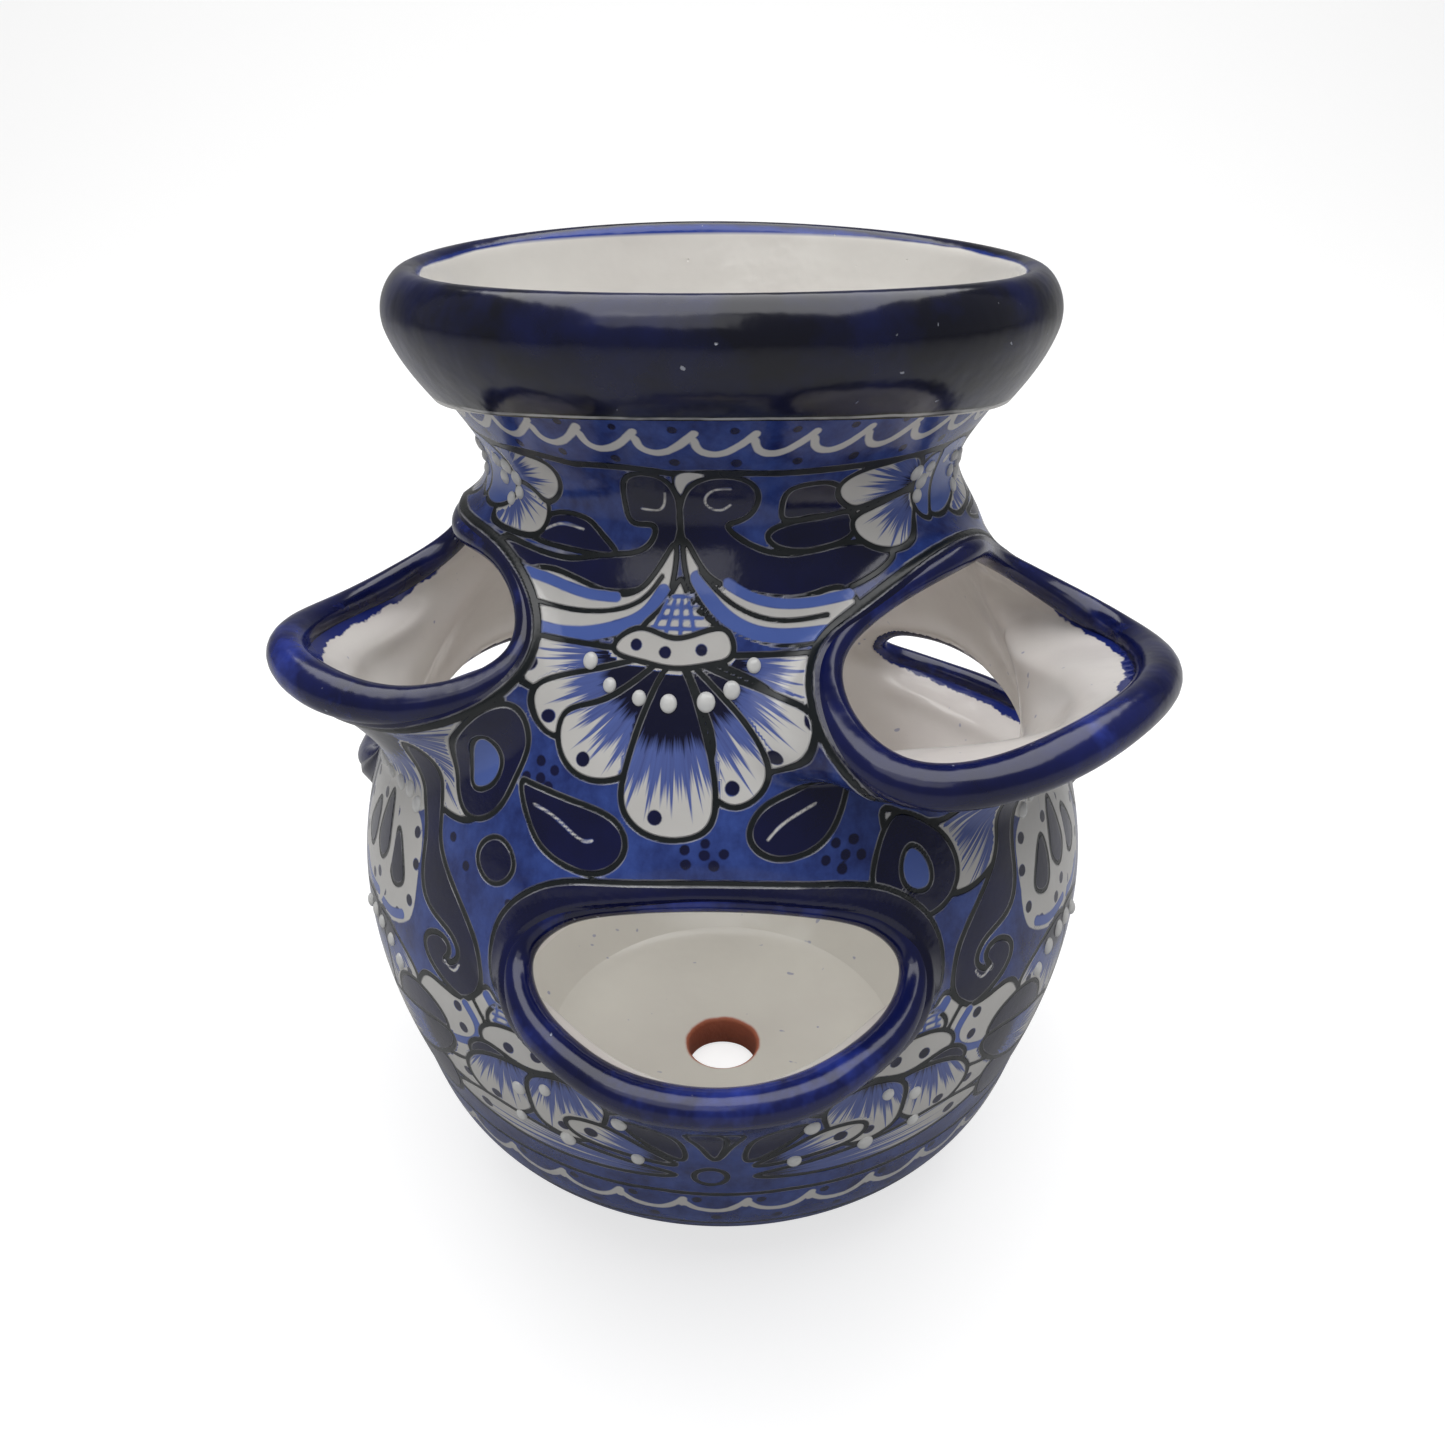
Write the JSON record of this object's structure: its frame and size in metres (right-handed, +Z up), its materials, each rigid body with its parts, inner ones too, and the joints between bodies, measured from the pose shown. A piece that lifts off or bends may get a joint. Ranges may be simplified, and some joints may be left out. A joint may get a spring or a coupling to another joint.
{
  "type": "strawberry pot",
  "caption": "Round-bellied ceramic herb pot with a flared mouth, out-turned side pockets with rolled rims and a drain hole in its flat foot.",
  "frame": {"origin": "centre of the foot, on the ground it stands on", "axes": "+Z up along the pot's axis; the single lower front pocket faces -Y; +X is to the right of someone who looks at the front"},
  "size_m": [0.2289, 0.2448, 0.254],
  "materials": {
    "painted_glaze": "glossy tin glaze, cobalt ground hand painted with navy and white flowers, leaves and scrolls",
    "rim_glaze": "glossy deep cobalt, nearly black where it lies thick, on a rolled rim",
    "white_glaze": "glossy off-white tin glaze over red clay, bare clay at the drain hole and underneath"
  },
  "bodies": {
    "root": {"wall_front": "painted_glaze", "wall_back": "painted_glaze", "floor_slab": "white_glaze", "mouth_rim": "rim_glaze", "rim_upper_right": "rim_glaze", "rim_upper_left": "rim_glaze", "rim_upper_back": "rim_glaze", "rim_lower_front": "rim_glaze", "rim_lower_right": "rim_glaze", "rim_lower_left": "rim_glaze"}
  },
  "joints": []
}
